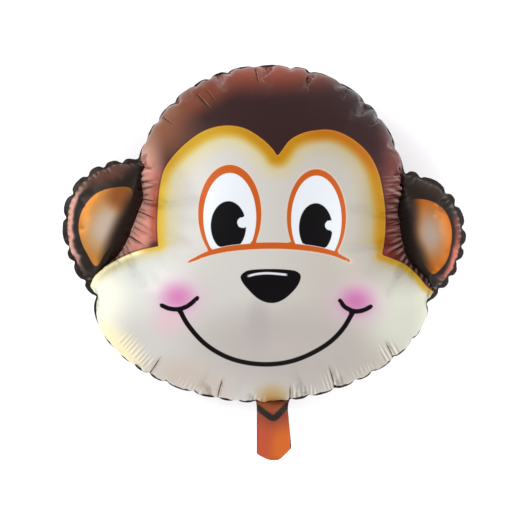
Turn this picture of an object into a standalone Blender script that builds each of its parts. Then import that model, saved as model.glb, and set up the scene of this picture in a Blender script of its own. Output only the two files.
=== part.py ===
"""A monkey-head foil balloon, lying on its back with the face up.

Two printed films are welded together round their edge and blown up. The origin is the centre of
the flat spot that the balloon lies on, +Y runs from the filling neck to the top of the head, and
+Z points out of the face. The balloon is sealed, so each film stands here as a solid half: the
halves meet at the weld, which lies in one flat plane.
"""

import math
from collections import namedtuple

import bmesh
import bpy
from mathutils import Vector

MM = 0.001

# Outline of the blown-up balloon, at the outer edge of its rim. A lobe is an ellipse, squarer when
# its power is above 2, with its centre and half sizes in metres and its lean in degrees,
# positive to the left. An ear's fold is the weld that parts it from the head, from top to bottom,
# and its middle is the top of its cushion.
Lobe = namedtuple("Lobe", "x y half_width half_height lean power")
Ear = namedtuple("Ear", "name side lobe middle fold")
SKULL = Lobe(8 * MM, 52 * MM, 205 * MM, 213 * MM, 0.0, 2.15)
MUZZLE = Lobe(-4 * MM, -90 * MM, 249 * MM, 147 * MM, 1.0, 1.86)
LEFT_EAR = Ear(
    "left_ear_cushion",
    -1,
    Lobe(-145 * MM, -15 * MM, 121 * MM, 170 * MM, 53.6, 2.0),
    Vector((-242 * MM, 26 * MM)),
    (
        Vector((-180 * MM, 126 * MM)),
        Vector((-181 * MM, 80 * MM)),
        Vector((-184 * MM, 58 * MM)),
        Vector((-201 * MM, 12 * MM)),
        Vector((-218 * MM, -17 * MM)),
        Vector((-248 * MM, -52 * MM)),
    ),
)
RIGHT_EAR = Ear(
    "right_ear_cushion",
    1,
    Lobe(179 * MM, -2 * MM, 106 * MM, 124 * MM, -61.0, 2.0),
    Vector((252 * MM, 12 * MM)),
    (
        Vector((204 * MM, 108 * MM)),
        Vector((200 * MM, 54 * MM)),
        Vector((201 * MM, 32 * MM)),
        Vector((206 * MM, 1 * MM)),
        Vector((217 * MM, -26 * MM)),
        Vector((243 * MM, -62 * MM)),
    ),
)

# Depths of the two cushions, from the weld plane out.
FACE_DEPTH = 112 * MM
BACK_DEPTH = 112 * MM
EAR_DEPTH = 34 * MM
FLAT_SPOT_TRIM = 0.7 * MM
PROFILE_POWER = 2.9

# The welded rim and the filling neck.
RIM_WIDTH = 6 * MM
RIM_THICKNESS = 1.5 * MM
PANEL_GAP = 0.3 * MM
NECK_X = 12 * MM
NECK_DRIFT = 3 * MM
NECK_TOP_WIDTH = 45 * MM
NECK_END_WIDTH = 52 * MM
NECK_LENGTH = 86 * MM
NECK_LEFT_CUT = 9 * MM
NECK_RIGHT_CUT = 18 * MM
NECK_TIP_WIDTH = 15 * MM
NECK_ROOT = 30 * MM
NECK_THICKNESS = 4 * MM
NECK_EDGE = 1 * MM

# Pleats that the weld gathers into the film.
HEAD_PLEATS = 44
EAR_PLEATS = 13
RIM_SCALLOPS = 56
STEPS_PER_PLEAT = 4
HEAD_PLEAT_DEPTH = 0.20
EAR_PLEAT_DEPTH = 0.24
HEAD_PLEAT_REACH = 0.30
EAR_PLEAT_REACH = 0.45
SCALLOP_DEPTH = 2.4 * MM
PLEAT_SHARPNESS = 0.6

# Real pleats aren't even: each drift is the share of a pleat that it shifts by, how often it
# comes round the weld, and where it starts.
PLEAT_DRIFTS = ((0.35, 3, 0.0), (0.25, 7, 1.0))

# How finely the forms are drawn. The calm angle, in degrees, is how far the outline's corners are
# spread round towards the middle of a cushion.
HEAD_RINGS = 8
EAR_RINGS = 5
EAR_OVERLAP = 8 * MM
CALM_ANGLE = 24
CALM_POWER = 3
FAR = 0.5
SEARCH_STEP = 2 * MM
BISECTIONS = 30
NECK_CORNER_ANGLE = 60
SHARP_ANGLE = 50

WELD_Z = BACK_DEPTH - FLAT_SPOT_TRIM


def lobe_value(lobe, x, y, grow=0.0):
    """1 on the lobe's edge, less inside. grow moves the edge outwards."""
    lean = math.radians(lobe.lean)
    across = (x - lobe.x) * math.cos(lean) + (y - lobe.y) * math.sin(lean)
    along = (y - lobe.y) * math.cos(lean) - (x - lobe.x) * math.sin(lean)
    wide = abs(across / (lobe.half_width + grow)) ** lobe.power
    high = abs(along / (lobe.half_height + grow)) ** lobe.power
    return (wide + high) ** (1 / lobe.power)


def head_value(x, y, grow=0.0):
    """1 on the edge of the head without its ears."""
    return min(lobe_value(SKULL, x, y, grow), lobe_value(MUZZLE, x, y, grow))


def balloon_value(x, y, grow=0.0):
    """1 on the edge of the whole balloon."""
    ears = min(lobe_value(ear.lobe, x, y, grow) for ear in (LEFT_EAR, RIGHT_EAR))
    return min(head_value(x, y, grow), ears)


def fold_x(fold, y):
    """How far across a fold lies at a height, and straight on beyond its ends."""
    for upper, lower in zip(fold, fold[1:]):
        if y >= lower.y:
            break
    return upper.x + (upper.y - y) / (upper.y - lower.y) * (lower.x - upper.x)


def beyond_fold(ear, x, y, overlap=0.0):
    """Whether a point is on the ear's side of its fold. overlap moves the fold inwards."""
    return ear.side * (x - fold_x(ear.fold, y)) > -overlap


def in_head(x, y):
    """Whether a point of the weld plane is in the head's air, from ear fold to ear fold."""
    if balloon_value(x, y, -RIM_WIDTH) >= 1:
        return False
    ear = RIGHT_EAR if x > 0 else LEFT_EAR
    if ear.fold[-1].y < y < ear.fold[0].y:
        return not beyond_fold(ear, x, y)
    return head_value(x, y, -RIM_WIDTH) < 1


def reach(inside, middle, angle):
    """Distance from middle, along angle, at which the inside test first turns false."""
    near = 0.0
    far = SEARCH_STEP
    while far < FAR and inside(middle.x + far * math.cos(angle), middle.y + far * math.sin(angle)):
        near = far
        far += SEARCH_STEP
    for _ in range(BISECTIONS):
        half = (near + far) / 2
        if inside(middle.x + half * math.cos(angle), middle.y + half * math.sin(angle)):
            near = half
        else:
            far = half
    return near


def pleat_wave(turn, count):
    """0 in the fold of a pleat and 1 on its crest, at a share of the way round."""
    drift = sum(
        share * math.sin(2 * math.pi * rounds * turn + begin)
        for share, rounds, begin in PLEAT_DRIFTS
    )
    return abs(math.sin(math.pi * count * turn + drift)) ** PLEAT_SHARPNESS


def cushion_height(share):
    """Height of a blown-up cushion, as a share of its depth, at a share of the way to its edge."""
    return math.sqrt(max(0.0, 1.0 - share**PROFILE_POWER))


def calmed(reaches):
    """Reaches averaged over CALM_ANGLE degrees to each side, without the outline's corners."""
    steps = len(reaches)
    spread = max(1, round(CALM_ANGLE / 360 * steps))
    window = range(-spread, spread + 1)
    return [
        sum(reaches[(step + near) % steps] for near in window) / len(window)
        for step in range(steps)
    ]


def cushion(name, middle, edge, depths, rings, pleat_count, pleat_depth, pleat_reach):
    """A closed lens of rings between its middle and its edge, above and below the weld.

    edge(angle) is the reach of the edge, and depths are those of the face side and the back.
    """
    mesh = bpy.data.meshes.new(name)
    body = bmesh.new()
    steps = pleat_count * STEPS_PER_PLEAT
    shares = [math.sin(math.pi / 2 * ring / rings) for ring in range(1, rings + 1)]
    angles = [2 * math.pi * step / steps for step in range(steps)]
    waves = [pleat_wave(step / steps, pleat_count) for step in range(steps)]
    reaches = [edge(angle) for angle in angles]
    calm_reaches = calmed(reaches)

    def ring_points(side, depth, share):
        """One ring of vertices on the face side (1) or the back (-1)."""
        fade = max(0.0, (share - 1 + pleat_reach) / pleat_reach)
        points = []
        for angle, wave, full, calm in zip(angles, waves, reaches, calm_reaches):
            fold = 1 - wave
            span = calm + (full - calm) * share**CALM_POWER
            out = share * span - SCALLOP_DEPTH * fold * fade**2
            lift = depth * cushion_height(share) * (1 - pleat_depth * fold * fade)
            place = (middle.x + out * math.cos(angle), middle.y + out * math.sin(angle))
            points.append(body.verts.new((*place, WELD_Z + side * lift)))
        return points

    def join(inner, outer):
        """Quads between two rings, listed anticlockwise as seen from outside."""
        for step in range(steps):
            after = (step + 1) % steps
            body.faces.new((inner[step], outer[step], outer[after], inner[after]))

    weld = ring_points(1, 0.0, 1.0)
    for side, depth in zip((1, -1), depths):
        pole = body.verts.new((middle.x, middle.y, WELD_Z + side * depth))
        ring = ring_points(side, depth, shares[0])
        for step in range(steps):
            body.faces.new((pole, ring[step], ring[(step + 1) % steps]))
        for share in shares[1:-1]:
            wider = ring_points(side, depth, share)
            join(ring, wider)
            ring = wider
        join(ring, weld)
    bmesh.ops.recalc_face_normals(body, faces=body.faces)
    body.to_mesh(mesh)
    body.free()
    return bpy.data.objects.new(name, mesh)


def head_cushion():
    """The head, from ear fold to ear fold."""
    middle = Vector((0.0, 0.0))
    return cushion(
        "head_cushion",
        middle,
        lambda angle: reach(in_head, middle, angle),
        (FACE_DEPTH, BACK_DEPTH),
        HEAD_RINGS,
        HEAD_PLEATS,
        HEAD_PLEAT_DEPTH,
        HEAD_PLEAT_REACH,
    )


def ear_cushion(ear):
    """One ear, from the outer weld to just inside the fold that it shares with the head."""

    def inside(x, y):
        if lobe_value(ear.lobe, x, y, -RIM_WIDTH) >= 1:
            return False
        return beyond_fold(ear, x, y, EAR_OVERLAP)

    return cushion(
        ear.name,
        ear.middle,
        lambda angle: reach(inside, ear.middle, angle),
        (EAR_DEPTH, EAR_DEPTH),
        EAR_RINGS,
        EAR_PLEATS,
        EAR_PLEAT_DEPTH,
        EAR_PLEAT_REACH,
    )


def flat_plate(name, outline, thickness):
    """A plate in the weld plane, from its outline in order."""
    mesh = bpy.data.meshes.new(name)
    body = bmesh.new()
    low = [body.verts.new((x, y, WELD_Z - thickness / 2)) for x, y in outline]
    face = body.faces.new(low)
    raised = bmesh.ops.extrude_face_region(body, geom=[face])
    tops = [item for item in raised["geom"] if isinstance(item, bmesh.types.BMVert)]
    bmesh.ops.translate(body, verts=tops, vec=(0, 0, thickness))
    bmesh.ops.recalc_face_normals(body, faces=body.faces)
    body.to_mesh(mesh)
    body.free()
    return bpy.data.objects.new(name, mesh)


def rim_plate():
    """The welded rim, scalloped where the pleats draw it in."""
    middle = Vector((0.0, 0.0))
    steps = RIM_SCALLOPS * STEPS_PER_PLEAT
    outline = []
    for step in range(steps):
        angle = 2 * math.pi * step / steps
        out = reach(lambda x, y: balloon_value(x, y) < 1, middle, angle)
        out -= SCALLOP_DEPTH * (1 - pleat_wave(step / steps, RIM_SCALLOPS))
        outline.append((out * math.cos(angle), out * math.sin(angle)))
    return flat_plate("rim_plate", outline, RIM_THICKNESS)


def neck_tube():
    """The flat filling neck below the chin, wider at its mouth."""
    down = math.atan2(-FAR, NECK_X)
    chin = reach(lambda x, y: head_value(x, y) < 1, Vector((0.0, 0.0)), down) * math.sin(down)
    end = chin - NECK_LENGTH
    half_top = NECK_TOP_WIDTH / 2
    half_end = NECK_END_WIDTH / 2
    half_tip = NECK_TIP_WIDTH / 2
    end_x = NECK_X + NECK_DRIFT
    outline = [
        (NECK_X - half_top, chin + NECK_ROOT),
        (NECK_X - half_top, chin),
        (end_x - half_end, end + NECK_LEFT_CUT),
        (end_x - half_tip, end),
        (end_x + half_tip, end),
        (end_x + half_end, end + NECK_RIGHT_CUT),
        (NECK_X + half_top, chin),
        (NECK_X + half_top, chin + NECK_ROOT),
    ]
    neck = flat_plate("neck_tube", outline, NECK_THICKNESS)
    edge = neck.modifiers.new("worn edge", "BEVEL")
    edge.width = NECK_EDGE
    edge.segments = 2
    edge.limit_method = "ANGLE"
    edge.angle_limit = math.radians(NECK_CORNER_ANGLE)
    return neck


def half_space(name, low, high):
    """A box that keeps what lies between two heights."""
    bpy.ops.mesh.primitive_cube_add(size=1, location=(0, 0, (low + high) / 2))
    box = bpy.context.object
    box.name = name
    box.scale = (4 * FAR, 4 * FAR, high - low)
    bpy.ops.object.transform_apply(location=False, rotation=False, scale=True)
    return box


def foil(name, colour, metallic, roughness):
    """Printed foil of one colour."""
    material = bpy.data.materials.new(name)
    material.use_nodes = True
    shader = material.node_tree.nodes["Principled BSDF"]
    shader.inputs["Base Color"].default_value = (*colour, 1)
    shader.inputs["Metallic"].default_value = metallic
    shader.inputs["Roughness"].default_value = roughness
    return material


def boolean(obj, operation, other):
    """A Boolean modifier on obj, for closed meshes."""
    cut = obj.modifiers.new(f"{operation.lower()} {other.name}", "BOOLEAN")
    cut.operation = operation
    cut.object = other
    cut.solver = "MANIFOLD"


def collection(name):
    """A new collection in the scene."""
    made = bpy.data.collections.new(name)
    bpy.context.scene.collection.children.link(made)
    return made


def hide(obj):
    """Keep a helper out of the model."""
    obj.hide_render = True
    obj.display_type = "WIRE"


def blown_up_envelope(helpers):
    """Mesh of the whole balloon: head, ears, welded rim and neck in one."""
    head = head_cushion()
    parts = [
        ear_cushion(LEFT_EAR),
        ear_cushion(RIGHT_EAR),
        rim_plate(),
        neck_tube(),
    ]
    for obj in (head, *parts):
        helpers.objects.link(obj)
        hide(obj)
    for obj in parts:
        boolean(head, "UNION", obj)
    bpy.context.view_layer.update()
    graph = bpy.context.evaluated_depsgraph_get()
    mesh = bpy.data.meshes.new_from_object(head.evaluated_get(graph))
    head.modifiers.clear()
    return mesh


def panel(name, envelope, keeper, material, model):
    """The part of the envelope on one side of the weld."""
    half = bpy.data.objects.new(name, envelope.copy())
    model.objects.link(half)
    boolean(half, "INTERSECT", keeper)
    half.data.materials.clear()
    half.data.materials.append(material)
    half.data.shade_smooth()
    half.data.set_sharp_from_angle(angle=math.radians(SHARP_ANGLE))
    return half


def main():
    """Build the two panels."""
    for obj in list(bpy.data.objects):
        bpy.data.objects.remove(obj)
    model = collection("monkey_foil_balloon")
    helpers = collection("helpers")
    envelope = blown_up_envelope(helpers)
    face_side = half_space("face_side", WELD_Z + PANEL_GAP / 2, WELD_Z + 2 * FACE_DEPTH)
    back_side = half_space("back_side", 0.0, WELD_Z - PANEL_GAP / 2)
    for box in (face_side, back_side):
        for holder in list(box.users_collection):
            holder.objects.unlink(box)
        helpers.objects.link(box)
        hide(box)
    cream = foil("cream_print", (0.78, 0.72, 0.64), 0.3, 0.35)
    brown = foil("brown_foil", (0.20, 0.08, 0.05), 0.6, 0.3)
    panel("front_panel", envelope, face_side, cream, model)
    panel("back_panel", envelope, back_side, brown, model)


main()
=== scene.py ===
"""The looks of a monkey-faced foil balloon.

Two printed films are cut to one flat pattern, welded round their edge and
along the roots of the ears, and blown up by a cloth simulation, which is what
gives a real foil balloon its puckers. The blown-up film is then fitted to the
outline and depth of the construction model, and each film becomes one piece:
the front one printed with the face, the back one plain dark brown. The face's
soft colours paint highlights, reflections and shade on fur, ears and mask;
both films paint highlights and shade on their gathers, and the front also
along its creases.
"""

import logging
import math
from dataclasses import dataclass, field
from enum import Enum
from typing import Callable, Sequence

import bpy
import numpy as np
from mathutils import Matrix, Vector
from mathutils.geometry import delaunay_2d_cdt

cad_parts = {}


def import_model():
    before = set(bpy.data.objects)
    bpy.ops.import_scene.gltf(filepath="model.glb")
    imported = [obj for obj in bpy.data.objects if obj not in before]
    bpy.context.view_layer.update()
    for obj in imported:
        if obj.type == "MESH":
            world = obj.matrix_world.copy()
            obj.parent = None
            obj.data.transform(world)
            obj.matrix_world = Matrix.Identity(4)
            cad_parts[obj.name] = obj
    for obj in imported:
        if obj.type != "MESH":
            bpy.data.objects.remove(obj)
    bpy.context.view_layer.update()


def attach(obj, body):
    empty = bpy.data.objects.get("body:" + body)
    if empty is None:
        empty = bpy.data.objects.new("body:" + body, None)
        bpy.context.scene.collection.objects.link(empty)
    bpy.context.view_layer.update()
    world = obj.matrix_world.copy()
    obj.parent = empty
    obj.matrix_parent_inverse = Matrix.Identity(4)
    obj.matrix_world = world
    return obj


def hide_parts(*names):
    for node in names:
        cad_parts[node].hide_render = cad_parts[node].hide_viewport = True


MM = 0.001
WELD_HEIGHT = 111.3 * MM
PAPER_SHARE = 0.57
# Sprayed tones may run past white up to this share, so that painted highlights stay bright on shaded
# slopes.
BRIGHTEST_TONE = 1.2
TINY = 1e-6

Array = np.ndarray
Test = Callable[[Array, Array, float], Array]
Colour = tuple[float, float, float]
Socket = bpy.types.NodeSocket

log = logging.getLogger("monkey_balloon")


def smooth_step(values: Array, low: float, high: float) -> Array:
    """Ease values from 0 at low to 1 at high.

    Args:
        values: The numbers to ease.
        low: Where the result is 0.
        high: Where the result is 1.

    Returns:
        The eased numbers, from 0 to 1.
    """
    t = np.clip((values - low) / (high - low), 0.0, 1.0)
    return t * t * (3 - 2 * t)


def ink_colour(red: int, green: int, blue: int) -> Colour:
    """Turn an 8-bit screen colour into the linear one that a shader takes.

    The studio is lit until white paper glows, so all inks are darkened alike,
    by PAPER_SHARE, to look as they do in the photograph.

    Args:
        red: Red, from 0 to 255.
        green: Green, from 0 to 255.
        blue: Blue, from 0 to 255.

    Returns:
        The linear colour.
    """
    return tuple(float(part) for part in linear(np.array([red, green, blue], float)))


def linear(tones: Array) -> Array:
    """Turn rows of 8-bit screen colours into linear ones."""
    parts = np.clip(tones / 255, 0, BRIGHTEST_TONE)
    return PAPER_SHARE * np.where(parts <= 0.04045, parts / 12.92, ((parts + 0.055) / 1.055) ** 2.4)


def rounded(corners: Sequence[tuple[float, float]], closed: bool, parts: int = 8) -> Array:
    """Draw a smooth curve through points.

    Args:
        corners: The points that it passes.
        closed: Whether it comes back to the first.
        parts: How many straight parts lie between two points.

    Returns:
        The curve's points, one row each.
    """
    given = np.array(corners, float)
    if closed:
        given = np.vstack([given[-1:], given, given[:2]])
    else:
        given = np.vstack([2 * given[:1] - given[1:2], given, 2 * given[-1:] - given[-2:-1]])
    t = np.linspace(0, 1, parts, endpoint=False)[:, None]
    spans = []
    for a, b, c, d in zip(given, given[1:], given[2:], given[3:]):
        square, cube = 2 * a - 5 * b + 4 * c - d, 3 * b - a - 3 * c + d
        spans.append(0.5 * (2 * b + (c - a) * t + square * t ** 2 + cube * t ** 3))
    if not closed:
        spans.append(given[-2:-1])
    return np.vstack(spans)


def line_distance(sheet: Array, curve: Array) -> tuple[Array, Array]:
    """Measure the distance from points to a line of straight parts.

    Args:
        sheet: The points.
        curve: The line's points.

    Returns:
        The distances, and how far along the line from 0 to 1 each is met.
    """
    nearest = np.full(len(sheet), 1e9)
    along = np.zeros(len(sheet))
    lengths = np.hypot(*np.diff(curve, axis=0).T)
    before = np.r_[0, np.cumsum(lengths)]
    for a, b, length, start in zip(curve, curve[1:], lengths, before):
        way = b - a
        t = np.clip(((sheet - a) @ way) / max(length * length, TINY ** 2), 0, 1)
        gap = np.hypot(*(sheet - a - t[:, None] * way).T)
        closer = gap < nearest
        nearest = np.where(closer, gap, nearest)
        along = np.where(closer, (start + t * length) / before[-1], along)
    return nearest, along


def write_numbers(mesh: bpy.types.Mesh, rows: dict[str, Array]) -> None:
    """Store numbers at a mesh's points, each row under its name."""
    for name, values in rows.items():
        row = mesh.attributes.new(name, "FLOAT", "POINT")
        row.data.foreach_set("value", values.astype(np.float32))


class Seam(Enum):
    """What holds a point of the flat pattern."""

    FREE = 0
    WELD = 1
    RIM_EDGE = 2
    EAR_WELD = 3


class Side(Enum):
    """One of the two films."""

    FRONT = 1
    BACK = -1


@dataclass(frozen=True)
class Lobe:
    """One rounded lobe of the outline, seen from the front."""

    x: float
    y: float
    half_width: float
    half_height: float
    lean: float
    power: float

    def value(self, x: Array, y: Array, offset: float = 0.0) -> Array:
        """Tell how far out points lie: below 1 inside, above 1 outside.

        Args:
            x: Places across.
            y: Places up.
            offset: How far the lobe is let out, or taken in if negative.

        Returns:
            The value at each point.
        """
        turn = math.radians(self.lean)
        across = (x - self.x) * math.cos(turn) + (y - self.y) * math.sin(turn)
        along = (y - self.y) * math.cos(turn) - (x - self.x) * math.sin(turn)
        wide = np.abs(across / (self.half_width + offset)) ** self.power
        high = np.abs(along / (self.half_height + offset)) ** self.power
        return (wide + high) ** (1 / self.power)


@dataclass(frozen=True)
class Neck:
    """The flat filling neck below the chin, cut off unevenly at its mouth."""

    x: float = 12 * MM
    drift: float = 3 * MM
    top_width: float = 45 * MM
    end_width: float = 52 * MM
    length: float = 86 * MM
    left_cut: float = 9 * MM
    right_cut: float = 18 * MM
    tip_width: float = 15 * MM
    root: float = 30 * MM
    chin: float = -236.8 * MM

    def outline(self) -> list[tuple[float, float]]:
        """List the neck's corners, clockwise from its top left."""
        end = self.chin - self.length
        end_x = self.x + self.drift
        right, left = end_x + self.end_width / 2, end_x - self.end_width / 2
        right_lean = (right - self.x - self.top_width / 2) / (self.length - self.right_cut)
        left_lean = (left - self.x + self.top_width / 2) / (self.length - self.left_cut)
        return [
            (self.x + self.top_width / 2 - right_lean * self.root, self.chin + self.root),
            (right, end + self.right_cut),
            (end_x + self.tip_width / 2, end),
            (end_x - self.tip_width / 2, end),
            (left, end + self.left_cut),
            (self.x - self.top_width / 2 - left_lean * self.root, self.chin + self.root),
        ]

    def value(self, x: Array, y: Array, offset: float = 0.0) -> Array:
        """Tell how far out points lie: below 1 inside, above 1 outside.

        Args:
            x: Places across.
            y: Places up.
            offset: How far the neck is let out, or taken in if negative.

        Returns:
            The value at each point.
        """
        corners = self.outline()
        out = np.full(np.shape(x), -1.0)
        for (ax, ay), (bx, by) in zip(corners, corners[1:] + corners[:1]):
            length = math.hypot(bx - ax, by - ay)
            distance = ((by - ay) * (x - ax) - (bx - ax) * (y - ay)) / length
            out = np.maximum(out, -distance)
        return 1 + (out - offset) / (100 * MM)


@dataclass(frozen=True)
class Outline:
    """The balloon's outline at the rim's outer edge, lobe by lobe."""

    skull: Lobe = Lobe(8 * MM, 52 * MM, 205 * MM, 213 * MM, 0.0, 2.15)
    muzzle: Lobe = Lobe(-4 * MM, -90 * MM, 249 * MM, 147 * MM, 1.0, 1.86)
    left_ear: Lobe = Lobe(-145 * MM, -15 * MM, 121 * MM, 170 * MM, 53.6, 2.0)
    right_ear: Lobe = Lobe(179 * MM, -2 * MM, 106 * MM, 124 * MM, -61.0, 2.0)
    neck: Neck = Neck()
    left_fold: tuple[tuple[float, float], ...] = (
        (-178 * MM, 140 * MM), (-180 * MM, 126 * MM), (-181 * MM, 80 * MM), (-184 * MM, 58 * MM),
        (-201 * MM, 12 * MM), (-218 * MM, -17 * MM), (-248 * MM, -52 * MM), (-262 * MM, -68 * MM))
    right_fold: tuple[tuple[float, float], ...] = (
        (205 * MM, 125 * MM), (204 * MM, 108 * MM), (200 * MM, 54 * MM), (201 * MM, 32 * MM),
        (206 * MM, 1 * MM), (217 * MM, -26 * MM), (243 * MM, -62 * MM), (258 * MM, -82 * MM))
    spokes: int = 2880
    near: float = 50 * MM
    far: float = 380 * MM
    stride: float = 2 * MM
    halvings: int = 20

    def head(self, x: Array, y: Array, offset: float = 0.0) -> Array:
        """Tell how far out points lie from the head alone."""
        return np.minimum(self.skull.value(x, y, offset), self.muzzle.value(x, y, offset))

    def bag(self, x: Array, y: Array, offset: float = 0.0) -> Array:
        """Tell how far out points lie from all that holds air: head and ears."""
        ears = np.minimum(self.left_ear.value(x, y, offset), self.right_ear.value(x, y, offset))
        return np.minimum(self.head(x, y, offset), ears)

    def whole(self, x: Array, y: Array, offset: float = 0.0) -> Array:
        """Tell how far out points lie from head, ears and neck."""
        return np.minimum(self.bag(x, y, offset), self.neck.value(x, y, offset))

    def loop(self, shape: Test, offset: float, step: float) -> Array:
        """Walk round a shape at even steps.

        Args:
            shape: The test that draws the shape.
            offset: How far the shape is let out, or taken in if negative.
            step: The distance from one point to the next.

        Returns:
            The points, one row each, anticlockwise from +X.
        """
        turn = np.linspace(0, 2 * np.pi, self.spokes, endpoint=False)
        ways = np.c_[np.cos(turn), np.sin(turn)]
        radii = np.arange(self.near, self.far, self.stride)
        grid = radii[None, :, None] * ways[:, None, :]
        inside = shape(grid[..., 0], grid[..., 1], offset) < 1
        low = radii[inside.shape[1] - 1 - np.argmax(inside[:, ::-1], axis=1)]
        high = low + self.stride
        for _ in range(self.halvings):
            middle = (low + high) / 2
            within = shape(middle * ways[:, 0], middle * ways[:, 1], offset) < 1
            low, high = np.where(within, middle, low), np.where(within, high, middle)
        points = ways * low[:, None]
        closed = np.vstack([points, points[:1]])
        walked = np.r_[0, np.cumsum(np.hypot(*np.diff(closed, axis=0).T))]
        count = int(round(walked[-1] / step))
        stops = np.linspace(0, walked[-1], count, endpoint=False)
        return np.c_[np.interp(stops, walked, closed[:, 0]), np.interp(stops, walked, closed[:, 1])]


@dataclass
class FlatFilm:
    """The flat pattern of one film, as a triangle mesh of the finished size.

    The film is cut larger than the balloon it makes, so places here are
    those of the finished outline, and Inflation lets them out by its growth.
    """

    outline: Outline = Outline()
    rim: float = 6 * MM
    fine: float = 4.7 * MM
    coarse: float = 7.0 * MM
    fine_band: float = 45 * MM
    jitter: float = 0.22
    seed: int = 3
    elbow_room: float = 0.62
    skull_core: float = 0.7
    batch: int = 2000
    points: Array = field(init=False)
    triangles: Array = field(init=False)
    seams: Array = field(init=False)
    loops: list[Array] = field(init=False)
    runs: list[Array] = field(init=False)

    def lattice(self, step: float, chance: np.random.Generator) -> Array:
        """Lay slightly uneven points in a triangle lattice over the outline.

        Args:
            step: The distance between points.
            chance: The source of the unevenness.

        Returns:
            The points, one row each.
        """
        far = self.outline.far
        rows = []
        for row, y in enumerate(np.arange(-far, far, step * math.sqrt(3) / 2)):
            x = np.arange(-far + (row % 2) * step / 2, far, step)
            rows.append(np.c_[x, np.full(len(x), y)])
        points = np.vstack(rows)
        return points + chance.uniform(-self.jitter, self.jitter, points.shape) * step

    def ear_welds(self, step: float) -> list[Array]:
        """Find the lines where the ears are welded off from the head."""
        found = []
        for corners in (self.outline.left_fold, self.outline.right_fold):
            fold = rounded(corners, False)
            walked = np.r_[0, np.cumsum(np.hypot(*np.diff(fold, axis=0).T))]
            stops = np.linspace(0, walked[-1], int(round(walked[-1] / step)))
            line = np.c_[np.interp(stops, walked, fold[:, 0]), np.interp(stops, walked, fold[:, 1])]
            found.append(line[self.outline.bag(line[:, 0], line[:, 1], -self.rim - 0.8 * step) < 1])
        return found

    def nearest(self, points: Array, line: Array) -> tuple[Array, Array]:
        """Find the nearest point of a line to each of some points.

        Args:
            points: The points to measure from.
            line: The line's points.

        Returns:
            The distance to it, and its number on the line.
        """
        gaps, numbers = [], []
        for part in np.array_split(points, max(1, len(points) // self.batch)):
            away = np.hypot(*(part[:, None] - line[None]).transpose(2, 0, 1))
            numbers.append(away.argmin(axis=1))
            gaps.append(away[np.arange(len(part)), numbers[-1]])
        return np.concatenate(gaps), np.concatenate(numbers)

    def line_gap(self, points: Array, line: Array, closed: bool) -> tuple[Array, Array]:
        """Measure how far points lie from a finely stepped line.

        Args:
            points: The points to measure from.
            line: The line's points.
            closed: Whether the line is a closed loop.

        Returns:
            The distance to it, and the place along it in steps.
        """
        gap, number = self.nearest(points, line)
        place = number.astype(float)
        for step in (-1, 1):
            other = number + step
            other = other % len(line) if closed else np.clip(other, 0, len(line) - 1)
            way = line[other] - line[number]
            share = ((points - line[number]) * way).sum(axis=1)
            share = np.clip(share / np.maximum((way * way).sum(axis=1), TINY ** 2), 0, 1)
            beside = np.hypot(*(points - line[number] - share[:, None] * way).T)
            place = np.where(beside < gap, number + step * share, place)
            gap = np.minimum(gap, beside)
        return gap, place

    def ear_depth(self, points: Array) -> Array:
        """Measure how far pattern points lie inside the ears, past their folds."""
        deepest = np.full(len(points), -1.0)
        folds = (self.outline.left_fold, self.outline.right_fold)
        for fold, run, side in zip(folds, self.runs, (-1, 1)):
            gap, _ = self.line_gap(points, self.points[run], False)
            line = rounded(fold, False)[::-1]
            past = side * (points[:, 0] - np.interp(points[:, 1], line[:, 1], line[:, 0]))
            ear = (past > 0) & (self.outline.skull.value(*points.T) > self.skull_core)
            deepest = np.maximum(deepest, np.where(ear, gap, -gap))
        return deepest

    def cut(self) -> None:
        """Lay out the points and join them to triangles."""
        chance = np.random.default_rng(self.seed)
        edge = self.outline.loop(self.outline.whole, 0.0, self.fine)
        weld = self.outline.loop(self.outline.bag, -self.rim, self.fine)
        runs = self.ear_welds(self.fine)
        lines = np.vstack([edge, weld, *runs])
        fine = self.lattice(self.fine, chance)
        fine = fine[self.outline.whole(fine[:, 0], fine[:, 1], -self.rim / 3) < 1]
        gap, _ = self.nearest(fine, lines)
        fine = fine[(gap > self.elbow_room * self.fine) & (gap < self.fine_band)]
        coarse = self.lattice(self.coarse, chance)
        coarse = coarse[self.outline.bag(coarse[:, 0], coarse[:, 1], -self.rim) < 1]
        coarse = coarse[self.nearest(coarse, lines)[0] >= self.fine_band + 0.3 * self.fine]
        groups = [(edge, Seam.RIM_EDGE), (weld, Seam.WELD)] + [(run, Seam.EAR_WELD) for run in runs]
        groups += [(fine, Seam.FREE), (coarse, Seam.FREE)]
        points = np.vstack([group for group, _ in groups])
        kinds = np.concatenate([np.full(len(group), seam.value) for group, seam in groups])
        edges, first, orders = [], 0, []
        for group, seam in groups[:2 + len(runs)]:
            count = len(group)
            links = count if seam is not Seam.EAR_WELD else count - 1
            edges += [(first + i, first + (i + 1) % count) for i in range(links)]
            orders.append(np.arange(first, first + count))
            first += count
        made, _, faces, sources, _, _ = delaunay_2d_cdt(
            [Vector(p) for p in (points / MM).tolist()], edges, [list(range(len(edge)))], 1, 1e-6)
        self.points = np.array([[v.x, v.y] for v in made]) * MM
        self.seams = np.array([kinds[s[0]] if s else Seam.FREE.value for s in sources])
        self.triangles = np.array([list(f) for f in faces if len(f) == 3])
        place = np.full(len(points), -1)
        for new, old in enumerate(sources):
            for one in old:
                place[one] = new
        self.loops = [place[order] for order in orders[:2]]
        self.runs = [place[order] for order in orders[2:]]
        log.info("flat film: %d points, %d triangles", len(self.points), len(self.triangles))

    def holds_air(self) -> Array:
        """Tell which triangles are part of the air chamber, not of rim or neck."""
        centres = self.points[self.triangles].mean(axis=1)
        return self.outline.bag(centres[:, 0], centres[:, 1], -self.rim) < 1


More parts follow.
